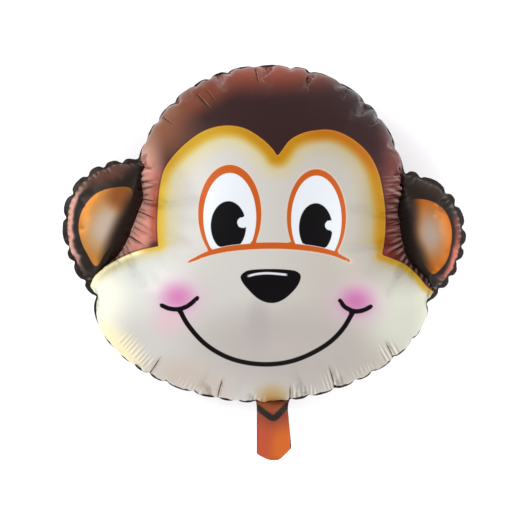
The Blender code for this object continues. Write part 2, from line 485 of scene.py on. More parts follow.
@dataclass(frozen=True)
class Inflation:
    """How the two welded films are blown up by the cloth simulation."""

    growth: float = 1.22
    scale: float = 10.0
    start_gap: float = 4 * MM
    steps: int = 30
    pressure: float = 10.0
    stiffness: float = 40.0
    bending: float = 0.05
    mass: float = 0.01
    quality: int = 6
    damping: float = 5.0
    bending_damping: float = 0.5
    air_damping: float = 1.0
    quick_steps: int = 12

    def bag_mesh(self, film: FlatFilm) -> tuple[bpy.types.Object, Array]:
        """Lay the two flat films on each other, sharing all welded points.

        Args:
            film: The pattern that both are cut to.

        Returns:
            The mesh object, and for each pattern point its point on the back.
        """
        free = film.seams == Seam.FREE.value
        air = film.holds_air()
        loose = np.zeros(len(film.points), bool)
        loose[film.triangles[air].ravel()] = True
        loose &= free
        twins = np.nonzero(loose)[0]
        back = np.arange(len(film.points))
        back[twins] = len(film.points) + np.arange(len(twins))
        flat = film.points * self.growth
        front_points = np.c_[flat, np.where(loose, self.start_gap / 2, 0.0)]
        back_points = np.c_[flat[twins], np.full(len(twins), -self.start_gap / 2)]
        points = np.vstack([front_points, back_points]) * self.scale
        faces = np.vstack([film.triangles, back[film.triangles[air]][:, ::-1]])
        mesh = bpy.data.meshes.new("bag")
        mesh.from_pydata(points.tolist(), [], faces.tolist())
        mesh.update()
        bag = bpy.data.objects.new("bag", mesh)
        bpy.context.scene.collection.objects.link(bag)
        group = bag.vertex_groups.new(name="air")
        group.add([int(i) for i in twins] + [int(i) for i in back[twins]], 1.0, "REPLACE")
        return bag, back

    def blow_up(self, film: FlatFilm) -> tuple[Array, Array]:
        """Run the simulation.

        Args:
            film: The pattern of both films.

        Returns:
            The blown-up places of the front's and of the back's points.
        """
        bag, back = self.bag_mesh(film)
        modifier = bag.modifiers.new("air", "CLOTH")
        cloth = modifier.settings
        cloth.quality = self.quality
        cloth.mass = self.mass
        cloth.air_damping = self.air_damping
        for strain in ("tension", "compression", "shear"):
            setattr(cloth, f"{strain}_stiffness", self.stiffness)
            setattr(cloth, f"{strain}_damping", self.damping)
        cloth.bending_stiffness = self.bending
        cloth.bending_damping = self.bending_damping
        cloth.bending_model = "ANGULAR"
        cloth.use_pressure = True
        cloth.uniform_pressure_force = self.pressure
        cloth.vertex_group_pressure = "air"
        cloth.effector_weights.gravity = 0.0
        modifier.collision_settings.use_collision = False
        modifier.collision_settings.use_self_collision = False
        steps = self.steps
        modifier.point_cache.frame_start = 1
        modifier.point_cache.frame_end = steps + 1
        bpy.context.view_layer.update()
        for step in range(1, steps + 1):
            bpy.context.scene.frame_set(step)
        blown = bag.evaluated_get(bpy.context.evaluated_depsgraph_get())
        places = np.empty(len(blown.data.vertices) * 3)
        blown.data.vertices.foreach_get("co", places)
        places = places.reshape(-1, 3) / self.scale
        bpy.context.scene.frame_set(1)
        mesh = bag.data
        bpy.data.objects.remove(bag)
        bpy.data.meshes.remove(mesh)
        size = (places.max(axis=0) - places.min(axis=0)) / MM
        log.info("blown up to %.0f x %.0f x %.0f mm", *size)
        return places[:len(film.points)], places[back]


@dataclass(frozen=True)
class Fitting:
    """Brings the blown-up film to the construction model's outline and depth."""

    face_depth: float = 112 * MM
    back_depth: float = 112 * MM
    pucker: float = 14 * MM
    floor_gap: float = 0.4 * MM
    solver_steps: int = 900
    settled: float = 1e-14
    head_edge: tuple[float, float] = (0.985, 1.02)
    lobe_pitch: tuple[float, float] = (26 * MM, 19 * MM)
    pinch: tuple[float, float] = (1.8 * MM, 2.6 * MM)
    let_out: tuple[float, float] = (3.0 * MM, 0.0)
    rim_least: tuple[float, float] = (0.06, 0.35)
    rim_most: tuple[float, float] = (0.62, 1.25)
    neck_bulge: float = 1.8 * MM
    neck_blend: float = 14 * MM
    neck_reach: float = 3 * MM
    rim_follow: float = 0.6

    def smoothed(self, values: Array, step: float, closed: bool) -> Array:
        """Even out values along a line, so that puckers drop out of them.

        Args:
            values: One row for each point of the line.
            step: The distance between points.
            closed: Whether the line is a closed loop.

        Returns:
            The evened values.
        """
        reach = max(1, int(3 * self.pucker / step))
        if not closed:
            reach = min(reach, len(values) - 1)
        weights = np.exp(-0.5 * (np.arange(-reach, reach + 1) * step / self.pucker) ** 2)
        weights /= weights.sum()
        padded = np.pad(values, ((reach, reach), (0, 0)), mode="wrap" if closed else "reflect")
        return np.column_stack([np.convolve(row, weights, "valid") for row in padded.T])

    def spread(self, film: FlatFilm, held: Array, moves: Array) -> Array:
        """Spread the moves of some points smoothly over the whole film.

        Args:
            film: The pattern, for its triangles.
            held: Which points' moves are known.
            moves: The moves, right at the held points.

        Returns:
            The moves of all points.
        """
        sides = np.vstack([film.triangles[:, pair] for pair in ([0, 1], [1, 2], [2, 0])])
        sides = np.unique(np.sort(sides, axis=1), axis=0)
        a, b = sides.T
        count = len(film.points)
        degree = np.bincount(a, minlength=count) + np.bincount(b, minlength=count)
        free = ~held

        def pull(values: Array) -> Array:
            """Apply the film's net of springs to the free points' values."""
            total = degree[:, None] * values
            for axis in range(values.shape[1]):
                row = values[:, axis]
                total[:, axis] -= np.bincount(a, row[b], count) + np.bincount(b, row[a], count)
            total[held] = 0
            return total

        known = np.where(held[:, None], moves, 0.0)
        rest = -pull(known)
        found = np.zeros_like(known)
        way = rest.copy()
        power = (rest * rest).sum(axis=0)
        for _ in range(self.solver_steps):
            pulled = pull(way)
            step = power / np.maximum((way * pulled).sum(axis=0), TINY ** 5)
            found += step * way
            rest -= step * pulled
            fresh = (rest * rest).sum(axis=0)
            if fresh.max() < self.settled:
                break
            way = rest + (fresh / np.maximum(power, TINY ** 5)) * way
            power = fresh
        return np.where(free[:, None], found, known)

    def on_ear(self, film: FlatFilm, values: tuple[float, float]) -> Array:
        """Pick, for each step of the weld, the head's value or the ears' one."""
        share = smooth_step(film.outline.head(*film.points[film.loops[1]].T), *self.head_edge)
        return values[0] + (values[1] - values[0]) * share

    def lobes(self, film: FlatFilm, pull: Array, marks: Array) -> Array:
        """Part the weld into lobes that meet at its pinches.

        Args:
            film: The pattern.
            pull: How far out the simulation puts each step of the weld.
            marks: Places where there is a pinch in any case.

        Returns:
            How far out of its pinches each step is, from 0 to 1.
        """
        weld = film.points[film.loops[1]]
        count = len(weld)
        pitch = self.on_ear(film, self.lobe_pitch) / film.fine
        taken = list(dict.fromkeys(int(i) for i in film.nearest(marks, weld)[1]))
        for step in np.argsort(pull, kind="stable"):
            away = np.abs(np.array(taken) - step)
            if np.minimum(away, count - away).min() >= pitch[step]:
                taken.append(int(step))
        ends = np.array(sorted(taken))
        ends = np.r_[ends[-1] - count, ends, ends[0] + count]
        steps = np.arange(count)
        after = np.searchsorted(ends, steps, side="right")
        turn = (steps - ends[after - 1]) / (ends[after] - ends[after - 1])
        return np.sqrt(np.sin(np.pi * turn))

    def fit(self, film: FlatFilm, front: Array, back: Array, marks: Array) -> tuple[Array, Array]:
        """Move both films onto the construction model's outline and depth.

        Args:
            film: The pattern, whose places are those of the finished outline.
            front: The blown-up places of the front film.
            back: The blown-up places of the back film.
            marks: Where the weld is pinched in any case.

        Returns:
            The fitted places of the front and the back.
        """
        target = film.points.copy()
        edge, weld = film.loops
        ahead, behind = np.roll(target[weld], -1, axis=0), np.roll(target[weld], 1, axis=0)
        outwards = np.c_[(ahead - behind)[:, 1], (behind - ahead)[:, 0]]
        outwards /= np.hypot(*outwards.T)[:, None]
        evened = self.smoothed(target[weld] - front[weld, :2], film.fine, True)
        pull = ((front[weld, :2] + evened - target[weld]) * outwards).sum(axis=1)
        lobe = self.lobes(film, pull, marks)
        out = self.on_ear(film, self.let_out) - self.on_ear(film, self.pinch) * (1 - lobe) ** 2
        placed = target[weld] + outwards * out[:, None]
        moves = np.zeros_like(target)
        held = np.zeros(len(target), bool)
        for line in film.runs + film.loops:
            closed = not any(line is run for run in film.runs)
            moves[line] = self.smoothed(target[line] - front[line, :2], film.fine, closed)
            held[line] = True
        moves[weld] = placed - front[weld, :2]
        moves = self.spread(film, held, moves)
        neck = film.outline.neck
        rim = edge[neck.value(*target[edge].T, self.neck_reach) > 1]
        _, roots = film.nearest(target[rim], target[weld])
        least, most = self.on_ear(film, self.rim_least), self.on_ear(film, self.rim_most)
        width = (least + (most - least) * lobe)[roots, None]
        in_neck = smooth_step(neck.chin - target[:, 1], 0, self.neck_blend)
        in_neck[neck.value(*target.T, self.neck_reach) > 1] = 0
        across = (target[:, 0] - neck.x - neck.drift / 2) / (neck.end_width / 2)
        ripple = 0.25 * np.sin(9 * across + 0.6)
        bulge = self.neck_bulge * (np.clip(1 - across ** 2, 0, 1) + ripple)
        fitted = []
        sides = ((Side.FRONT, front, self.face_depth), (Side.BACK, back, self.back_depth))
        for side, places, depth in sides:
            moved = places.copy()
            moved[:, :2] += moves
            stretch = depth / np.abs(places[:, 2] * side.value).max()
            moved[:, 2] = WELD_HEIGHT + places[:, 2] * stretch
            moved[rim, :2] = placed[roots] + width * (target[rim] - target[weld[roots]])
            lift = moved[weld[roots], 2] - WELD_HEIGHT
            moved[rim, 2] = WELD_HEIGHT + self.rim_follow * lift
            flat = np.c_[target, WELD_HEIGHT + side.value * bulge]
            moved += in_neck[:, None] * (flat - moved)
            moved[:, 2] = np.maximum(moved[:, 2], self.floor_gap)
            fitted.append(moved)
        return fitted[0], fitted[1]


@dataclass(frozen=True)
class SoftLight:
    """One soft square light that faces the balloon."""

    name: str
    place: tuple[float, float, float]
    size: float
    power: float

    def hang(self) -> None:
        """Put the light in the scene."""
        data = bpy.data.lights.new(self.name, "AREA")
        data.energy = self.power
        data.size = self.size
        lamp = bpy.data.objects.new(self.name, data)
        bpy.context.scene.collection.objects.link(lamp)
        lamp.location = self.place
        aim = Vector((0, 0, WELD_HEIGHT)) - Vector(self.place)
        lamp.rotation_euler = aim.to_track_quat("-Z", "Y").to_euler()


@dataclass(frozen=True)
class Studio:
    """The pale floor, the soft light and the camera of the photograph."""

    floor_size: float = 7.0
    view_x: float = -4.5 * MM
    view_y: float = -26.2 * MM
    view_width: float = 777.3 * MM
    distance: float = 2.8
    film_width: float = 36.0
    paper: Colour = (0.95, 0.95, 0.96)
    horizon: tuple[float, Colour] = (0.35, (1.58, 1.58, 1.6))
    zenith: tuple[float, Colour] = (0.95, (0.7, 0.7, 0.71))
    lights: tuple[SoftLight, ...] = (
        SoftLight("key", (-1.5, 0.7, 1.9), 1.2, 27.5),
        SoftLight("fill", (1.8, 0.2, 1.8), 1.4, 18.5),
        SoftLight("front", (0.2, -1.9, 1.9), 1.2, 15.0),
    )

    def floor(self) -> None:
        """Lay the pale floor."""
        bpy.ops.object.select_all(action="DESELECT")
        bpy.ops.mesh.primitive_plane_add(size=self.floor_size, location=(0, 0, 0))
        floor = bpy.context.object
        floor.name = "floor"
        material = bpy.data.materials.new("white paper")
        material.use_nodes = True
        shader = material.node_tree.nodes["Principled BSDF"]
        shader.inputs["Base Color"].default_value = (*self.paper, 1)
        shader.inputs["Roughness"].default_value = 0.9
        shader.inputs["Specular IOR Level"].default_value = 0.1
        floor.data.materials.append(material)

    def light(self) -> None:
        """Hang the lights, and light the room from its sides more than from above."""
        bpy.context.scene.view_settings.view_transform = "Standard"
        world = bpy.data.worlds.new("studio")
        world.use_nodes = True
        bpy.context.scene.world = world
        nodes, links = world.node_tree.nodes, world.node_tree.links
        place = nodes.new("ShaderNodeTexCoord")
        parts = nodes.new("ShaderNodeSeparateXYZ")
        ramp = nodes.new("ShaderNodeValToRGB")
        for stop, (position, colour) in zip(ramp.color_ramp.elements, (self.horizon, self.zenith)):
            stop.position = position
            stop.color = (*colour, 1)
        links.new(place.outputs["Generated"], parts.inputs["Vector"])
        links.new(parts.outputs["Z"], ramp.inputs["Fac"])
        links.new(ramp.outputs["Color"], nodes["Background"].inputs["Color"])
        for light in self.lights:
            light.hang()

    def camera(self) -> None:
        """Set the camera straight above, as the photograph was taken."""
        data = bpy.data.cameras.new("camera")
        data.sensor_fit = "HORIZONTAL"
        data.sensor_width = self.film_width
        data.lens = self.film_width * self.distance / self.view_width
        camera = bpy.data.objects.new("camera", data)
        bpy.context.scene.collection.objects.link(camera)
        camera.location = (self.view_x, self.view_y, WELD_HEIGHT + self.distance)
        bpy.context.scene.camera = camera

    def sheet(self, places: Array) -> Array:
        """Find where points of the balloon lie on the printed sheet.

        The sheet is the weld's plane as the camera sees it.

        Args:
            places: The points, in metres.

        Returns:
            Their places on the sheet, in millimetres.
        """
        centre = np.array([self.view_x, self.view_y])
        nearer = self.distance / (self.distance - (places[:, 2:] - WELD_HEIGHT))
        return (centre + (places[:, :2] - centre) * nearer) / MM


@dataclass(frozen=True)
class Ellipse:
    """An oval of the print, in millimetres on the sheet."""

    x: float
    y: float
    half_width: float
    half_height: float

    def depth(self, sheet: Array) -> Array:
        """Measure how deep sheet points lie inside, negative outside."""
        across, up = sheet[:, 0] - self.x, sheet[:, 1] - self.y
        ring = np.hypot(across / self.half_width, up / self.half_height)
        slope = np.hypot(across / self.half_width ** 2, up / self.half_height ** 2)
        middle = min(self.half_width, self.half_height)
        return np.where(slope > TINY, ring * (1 - ring) / np.maximum(slope, TINY), middle)


@dataclass(frozen=True)
class Patch:
    """A closed area of the print, in millimetres on the sheet."""

    corners: tuple[tuple[float, float], ...]

    def depth(self, sheet: Array) -> Array:
        """Measure how deep sheet points lie inside, negative outside."""
        curve = rounded(self.corners, True)
        closed = np.vstack([curve, curve[:1]])
        distance, _ = line_distance(sheet, closed)
        inside = np.zeros(len(sheet), bool)
        for (ax, ay), (bx, by) in zip(closed, closed[1:]):
            if ay == by:
                continue
            level = (sheet[:, 1] < ay) != (sheet[:, 1] < by)
            crossing = ax + (sheet[:, 1] - ay) / (by - ay) * (bx - ax)
            inside ^= level & (sheet[:, 0] < crossing)
        return np.where(inside, distance, -distance)


@dataclass(frozen=True)
class Stroke:
    """A drawn line of the print that thins towards its ends."""

    corners: tuple[tuple[float, float], ...]
    width: float
    end_width: float

    def side(self, sheet: Array) -> Array:
        """Measure how far points lie above the line."""
        curve = rounded(self.corners, False)
        return sheet[:, 1] - np.interp(sheet[:, 0], curve[:, 0], curve[:, 1])

    def ends(self, sheet: Array) -> Array:
        """Measure how deep points lie between the line's two ends."""
        middle = (self.corners[0][0] + self.corners[-1][0]) / 2
        return abs(self.corners[-1][0] - middle) - np.abs(sheet[:, 0] - middle)

    def depth(self, sheet: Array) -> Array:
        """Measure how deep sheet points lie inside the line, negative outside."""
        distance, along = line_distance(sheet, rounded(self.corners, False))
        thin = np.abs(2 * along - 1) ** 3
        return (self.width + (self.end_width - self.width) * thin) / 2 - distance


def deepest(shapes: Sequence[Ellipse | Patch | Stroke], sheet: Array) -> Array:
    """Measure how deep sheet points lie inside whichever shape is deepest there."""
    return np.maximum.reduce([shape.depth(sheet) for shape in shapes])


@dataclass(frozen=True)
class Spray:
    """One soft puff of colour on the sheet: an oval that fades towards its edge.

    It is used for inks and for painted highlights and shade.
    """

    x: float
    y: float
    half_width: float
    half_height: float
    colour: tuple[int, int, int]
    strength: float = 1.0
    lean: float = 0.0
    core: float = 0.25

    def over(self, tones: Array, sheet: Array, within: Array | float = 1.0) -> Array:
        """Spray it over what is there.

        Args:
            tones: The colours that are there, in 8-bit screen values.
            sheet: The points' places.
            within: A share by which the puff is held back at each point.

        Returns:
            The new colours.
        """
        turn = math.radians(self.lean)
        right, up = sheet[:, 0] - self.x, sheet[:, 1] - self.y
        across = right * math.cos(turn) + up * math.sin(turn)
        along = up * math.cos(turn) - right * math.sin(turn)
        away = np.hypot(across / self.half_width, along / self.half_height)
        share = self.strength * (1 - smooth_step(away, self.core, 1.0)) * within
        return tones + share[:, None] * (np.array(self.colour, float) - tones)


@dataclass(frozen=True)
class Crease:
    """A sharp crease that runs into the film from its weld, on the sheet."""

    x: float
    y: float
    end_x: float
    end_y: float
    depth: float = 1.0
    width: float = 1.0


@dataclass(frozen=True)
class Comb:
    """A row of fine pleats side by side that run in from the weld, on the sheet."""

    x: float
    y: float
    turn: float
    half_width: float
    length: float
    strength: float = 1.0

    def places(self, sheet: Array) -> tuple[Array, Array]:
        """Measure how far points lie across the row and along its pleats."""
        turn = math.radians(self.turn)
        away = sheet - np.array([self.x, self.y])
        across = away @ np.array([-math.sin(turn), math.cos(turn)])
        return across, away @ np.array([math.cos(turn), math.sin(turn)])


@dataclass(frozen=True)
class FacePrint:
    """The monkey's face as it lies on the sheet, in millimetres."""

    mask: Patch = Patch((
        (19.8, 131), (13.8, 139), (-1, 154), (-26, 170), (-51, 175.4), (-76, 172.3), (-100, 161.4),
        (-127, 139), (-147, 113), (-154.5, 88), (-158, 55), (-159, 22), (-157.4, -3), (-156.8, -4),
        (-158.5, -4.6), (-182, -9.5), (-206, -18), (-229, -30), (-247, -43), (-259, -62), (-275, -110),
        (-275, -160), (-200, -250), (0, -320), (200, -250), (275, -160), (270, -110), (262, -82),
        (242, -64), (229, -48), (211, -32), (188, -21.6), (176.6, -17.9), (175.2, -17.2), (175.6, -15.5),
        (179.3, 5), (180.8, 35), (178.7, 65), (171, 103), (158, 130), (139, 150), (118, 163), (98, 169),
        (78, 168.4), (58, 164.2), (39, 154), (26.4, 138)))
    rings: tuple[Ellipse, ...] = (Ellipse(-51, 44, 47, 73), Ellipse(78, 39, 44, 71.5))
    whites: tuple[Ellipse, ...] = (Ellipse(-51, 39, 39.4, 66), Ellipse(78, 35, 37.6, 66))
    pupils: tuple[Ellipse, ...] = (Ellipse(-53, 26, 26.4, 37), Ellipse(77, 23, 25, 37))
    glints: tuple[Ellipse, ...] = (Ellipse(-32, 31, 8, 8), Ellipse(98, 27, 7.4, 7.4))
    bridge: Stroke = Stroke((
        (-113, -28), (-80, -14), (-40, -6), (13, -3.2), (60, -6), (100, -14), (131, -28)), 9.5, 3.0)
    nose: Patch = Patch((
        (-35, -52), (-31, -44), (-20, -39.5), (10, -38), (40, -39.5), (51, -43), (55, -50.5), (48, -66),
        (30, -83), (11.5, -89), (-8, -83), (-26, -66)))
    nose_light: Stroke = Stroke(((-25, -49), (-10, -45.5), (8, -44.5), (35, -46.8)), 3.2, 3.2)
    smile: Stroke = Stroke((
        (-126, -99), (-112, -123), (-88, -149.4), (-58, -168), (-26, -177.6), (8, -180),
        (40, -175.6), (70, -164.2), (98, -147), (118, -126.4), (132, -103)), 7.0, 7.4)
    dimples: tuple[Stroke, ...] = (
        Stroke(((-153, -92), (-141, -97), (-126, -97.8), (-112, -92), (-99, -81)), 7.0, 6.6),
        Stroke(((113, -85), (121, -95), (135, -101), (148, -99.5), (159, -94)), 7.0, 6.6))
    ears: tuple[Patch, ...] = (
        Patch(((-224, 83), (-250, 74), (-268, 54), (-276, 30), (-273, 6), (-264, -14), (-250, -34),
               (-236, -14), (-216, 14), (-203, 44), (-197, 80))),
        Patch(((241, 65), (265, 53), (277, 32), (279.5, 8), (274, -21), (262, -39), (250, -45),
               (236, -28), (222, -2), (213, 30), (214, 62))))
    # The chevron is the dark rim edge dipping at the neck, with painted shade of the fold there.
    chevron: Stroke = Stroke(((-9.5, -244), (3, -254), (14.7, -260), (25, -251), (34.4, -241)), 9.6, 8.4)
    neck_edge: float = 26.0
    neck_x: float = 13.0
    neck_lap: float = 4.0
    fur: tuple[int, int, int] = (60, 37, 38)
    ear: tuple[int, int, int] = (47, 39, 35)
    cream: tuple[int, int, int] = (216, 212, 206)
    rim: tuple[int, int, int] = (50, 44, 41)
    # Painted highlights, reflections and shade on the fur: salmon and rust highlights on the left and
    # top, maroon reflections on the right, and painted shade in the corner by the left fold.
    fur_painted_light_sprays: tuple[Spray, ...] = (
        Spray(-20, 277, 265, 68, (152, 70, 48), 1.0, 0.0, 0.3),
        Spray(-104, 226, 96, 46, (136, 68, 46), 0.9, 27, 0.3),
        Spray(-156, 178, 74, 84, (150, 94, 68), 0.95, 0.0, 0.1),
        Spray(205, 146, 42, 76, (104, 54, 50), 0.85, 20, 0.2),
        Spray(-180, 130, 40, 56, (216, 168, 146), 0.85, 0.0, 0.1),
        Spray(-192, 48, 58, 106, (268, 180, 160), 1.0, -12, 0.4),
        Spray(-206, 40, 36, 112, (300, 226, 206), 0.9, -14, 0.2),
        Spray(-157, 36, 18, 90, (196, 86, 58), 0.8),
        Spray(-160, -4, 15, 11, (66, 32, 28), 0.9),
        Spray(208, 60, 52, 150, (128, 68, 64), 0.95, 0.0, 0.4),
        Spray(186, 0, 26, 56, (140, 50, 44), 0.8),
    )
    right_turn: tuple[float, float] = (-40, 150)
    cheek_turn: tuple[float, float] = (-2, 12)
    left_turn: tuple[float, float] = (100, 150)
    left_start: float = 5.0
    pale_strength: float = 0.8
    pale_fade: tuple[float, float] = (11, 48)
    pale_end: tuple[float, float] = (-75, -30)
    glow_fade: tuple[float, float] = (6, 24)
    glow_end: tuple[float, float] = (-95, -60)
    right_cream: tuple[int, int, int] = (198, 191, 180)
    pale_glow: tuple[int, int, int] = (226, 210, 150)
    right_pale_glow: tuple[int, int, int] = (197, 178, 126)
    glow: tuple[int, int, int] = (198, 138, 8)
    glow_and_highlight_sprays: tuple[Spray, ...] = (
        Spray(140, 165, 100, 80, (192, 112, 0), 1.0, 0.0, 0.5),
        Spray(-100, 150, 96, 60, (206, 160, 26), 1.0, 0.0, 0.3),
        Spray(-165, 40, 70, 100, (236, 194, 54), 1.0, 0.0, 0.4),
        Spray(190, 20, 50, 96, (206, 146, 18), 1.0, 0.0, 0.5),
        # A painted highlight, brighter than white, on the upper left edge of the muzzle.
        Spray(-234, -40, 84, 66, (306, 300, 236), 1.0, -25, 0.66),
        Spray(225, -45, 56, 44, (214, 172, 48), 1.0, 0.0, 0.4),
    )
    # Painted shade low in the middle of the mask and painted highlights on both cheeks, then the printed
    # blush and the chin's gold.
    cream_painted_light_and_blush_sprays: tuple[Spray, ...] = (
        Spray(20, -155, 186, 92, (187, 178, 173), 0.92),
        Spray(-8, -125, 26, 60, (181, 173, 170), 0.6),
        Spray(-185, -62, 100, 80, (232, 234, 226), 0.9),
        Spray(-256, -84, 70, 106, (266, 264, 242), 1.0, 0.0, 0.2),
        Spray(-224, -158, 84, 42, (276, 260, 200), 0.75, -42),
        Spray(-110, -208, 92, 48, (208, 193, 180), 0.8, -20),
        Spray(215, -110, 100, 90, (224, 226, 210), 0.9),
        Spray(266, -100, 52, 96, (244, 246, 220), 0.8, 0.0, 0.3),
        Spray(-128, -84, 66, 56, (230, 194, 214), 0.85, 0.0, 0.0),
        Spray(-128, -80, 38, 32, (220, 134, 188), 0.95, 0.0, 0.0),
        Spray(-142, -118, 44, 30, (238, 196, 206), 0.55, 0.0, 0.1),
        Spray(137, -88, 66, 56, (224, 186, 208), 0.85, 0.0, 0.0),
        Spray(137, -86, 38, 32, (206, 118, 174), 0.95, 0.0, 0.0),
        Spray(12, -228, 36, 28, (192, 158, 92), 0.85, 0.0, 0.05),
        Spray(13, -241, 28, 15, (198, 106, 48), 0.95, 0.0, 0.1),
    )
    neck_tone: tuple[int, int, int] = (198, 92, 54)
    neck_sprays: tuple[Spray, ...] = (
        Spray(12, -250, 60, 40, (158, 76, 60), 1.0),
        Spray(32, -305, 34, 52, (224, 114, 44), 0.9),
        Spray(-6, -290, 24, 44, (204, 88, 60), 0.6),
        Spray(13, -240, 40, 13, (156, 80, 44), 1.0, 0.0, 0.5),
        Spray(-12, -285, 4, 60, (110, 44, 30), 0.6),
    )
    left_patch: tuple[int, int, int] = (206, 132, 52)
    right_patch: tuple[int, int, int] = (202, 110, 34)
    # The first and fourth puffs paint a pale highlight in each ear patch; the dark puffs fade the
    # patches out towards the folds.
    patch_sprays_with_highlights: tuple[Spray, ...] = (
        Spray(-237, 26, 38, 62, (222, 200, 180), 1.0, -20, 0.12),
        Spray(-212, 70, 34, 30, (150, 84, 46), 0.8),
        Spray(-204, 14, 34, 130, (44, 37, 35), 1.0, -24, 0.36),
        Spray(247, 14, 34, 56, (200, 176, 158), 1.0, 6, 0.1),
        Spray(206, 44, 33, 76, (42, 36, 35), 1.0, 0, 0.36),
        Spray(213, -14, 34, 90, (42, 36, 35), 1.0, 24, 0.36),
    )
    ear_sprays: tuple[Spray, ...] = (
        Spray(-236, 108, 66, 26, (108, 68, 54), 0.9, 20),
        Spray(262, 88, 60, 30, (74, 56, 46), 0.7, -30),
    )
    # Painted highlights along the ears' outer edges, held to a band just inside the weld.
    ear_painted_highlights: tuple[Spray, ...] = (
        Spray(-300, 26, 70, 92, (238, 176, 156), 1.0, 0.0, 0.45),
        Spray(300, -34, 52, 58, (226, 126, 110), 1.0, 0.0, 0.45),
        Spray(298, 20, 40, 34, (150, 78, 70), 0.85, 0.0, 0.4),
    )
    creases: tuple[Crease, ...] = (
        Crease(-12, 257, -8, 236), Crease(66, 245, 62, 222), Crease(-98, 220, -78, 198),
        Crease(-84, 226, -70, 208, 0.6), Crease(-148, 186, -133, 175, 0.7),
        Crease(169, 182, 153, 172, 0.7), Crease(122, 225, 115, 212, 0.5),
        Crease(195, 154, 184, 147, 0.5), Crease(-168, -191, -152, -166),
        Crease(-68, -225, -61, -197), Crease(39, -238, 39, -207), Crease(106, -214, 95, -178),
        Crease(193, -169, 178, -141, 0.9, 0.8), Crease(-182, 66, -158, 62, 0.9),
        Crease(-188, 48, -160, 36), Crease(-200, 10, -176, -4), Crease(-181, 114, -161, 108, 0.5),
        Crease(-182, 92, -158, 88, 0.5), Crease(-195, 24, -170, 13, 0.5),
        Crease(-211, -7, -194, -20, 0.5), Crease(-225, -20, -212, -32, 0.5),
        Crease(204, 102, 180, 98, 0.6), Crease(203, 87, 182, 84, 0.5), Crease(201, 69, 182, 66, 0.6),
        Crease(201, 54, 182, 50, 0.6), Crease(202, 33, 182, 28, 0.9), Crease(203, 15, 186, 9, 0.5),
        Crease(208, -4, 188, -13, 0.9),
    )
    combs: tuple[Comb, ...] = (
        Comb(-197, -166, 47, 32, 32, 0.7), Comb(62, -231, 93, 22, 29, 0.7),
        Comb(-12, -241, 76, 13, 22, 0.8), Comb(192, -170, 120, 16, 36, 0.9),
        Comb(106, -215, 107, 17, 38, 0.6), Comb(150, -193, 114, 22, 18, 0.3),
        Comb(-110, -218, 62, 26, 18, 0.3), Comb(206, 54, 184, 52, 34, 0.55),
    )

    def layers(self, sheet: Array, cut: Array, film: FlatFilm) -> dict[str, Array]:
        """Measure the depth of every ink with a crisp edge.

        Args:
            sheet: The points' places on the sheet.
            cut: The points' places on the flat pattern.
            film: The pattern.

        Returns:
            The depth in millimetres, negative outside, by the ink's name.
        """
        bridge = self.bridge.depth(sheet)
        above = self.bridge.side(sheet)
        pupils = np.minimum(deepest(self.pupils, sheet), -deepest(self.glints, sheet))
        gap, _ = film.line_gap(cut, film.points[film.loops[1]], True)
        outside = film.outline.bag(cut[:, 0], cut[:, 1], -film.rim) > 1
        neck = self.neck_edge - np.abs(sheet[:, 0] - self.neck_x)
        below = (film.outline.neck.chin - cut[:, 1]) / MM + self.neck_lap
        return {
            "mask": np.clip(self.mask.depth(sheet), -60, 60),
            "ear_patch": np.clip(deepest(self.ears, sheet), -40, 40),
            "eye_ring": np.maximum(np.minimum(deepest(self.rings, sheet), above), bridge),
            "eye_white": np.minimum(deepest(self.whites, sheet), above - 4.0),
            "pupil": np.minimum(pupils, above - 4.5),
            "black": deepest((self.smile, self.nose, *self.dimples), sheet),
            "nose_side": np.clip(self.nose_light.side(sheet), -20, 20),
            "nose_ends": self.nose_light.ends(sheet),
            "rim": np.clip(np.where(outside, gap, -gap) / MM, -60, 10),
            "ear": np.clip(film.ear_depth(cut) / MM, -60, 60),
            "neck": np.minimum(neck, below),
            "chevron": self.chevron.depth(sheet),
        }

    def sprayed(self, start: Array | tuple[int, int, int], sprays: Sequence[Spray], sheet: Array,
                within: Array | float = 1.0) -> Array:
        """Spray a row of puffs over a starting colour.

        Args:
            start: The colour to start from, in 8-bit screen values.
            sprays: The puffs, lowest first.
            sheet: The points' places on the sheet.
            within: A share by which all puffs are held back at each point.

        Returns:
            The colour at each point.
        """
        tone = np.broadcast_to(np.array(start, float), (len(sheet), 3))
        for spray in sprays:
            tone = spray.over(tone, sheet, within)
        return tone

    def tones(self, sheet: Array, depths: dict[str, Array]) -> dict[str, Array]:
        """Spray the soft colours of fur, ears, mask and neck.

        On fur, ears and mask they include painted highlights, reflections and
        shade.

        Args:
            sheet: The points' places on the sheet.
            depths: The depths of the crisp inks.

        Returns:
            The 8-bit screen colours, by the layer's name.
        """
        # The band just inside the ears' weld that holds their painted highlights.
        inside = -depths["rim"]
        highlight_band = smooth_step(inside, 1, 4) * (1 - smooth_step(inside, 11, 18))
        ear = self.sprayed(self.ear, self.ear_sprays, sheet)
        patch = np.where(sheet[:, :1] < 0, self.left_patch, self.right_patch)
        return {
            "fur_tone_with_painted_light": self.sprayed(self.fur, self.fur_painted_light_sprays, sheet),
            "ear_tone_with_highlights": self.sprayed(ear, self.ear_painted_highlights, sheet, highlight_band),
            "patch_tone_with_highlights": self.sprayed(patch, self.patch_sprays_with_highlights, sheet),
            "mask_tone_with_painted_light": self.mask_tone_with_painted_light(sheet, depths["mask"]),
            "neck_tone": self.sprayed(self.neck_tone, self.neck_sprays, sheet),
        }

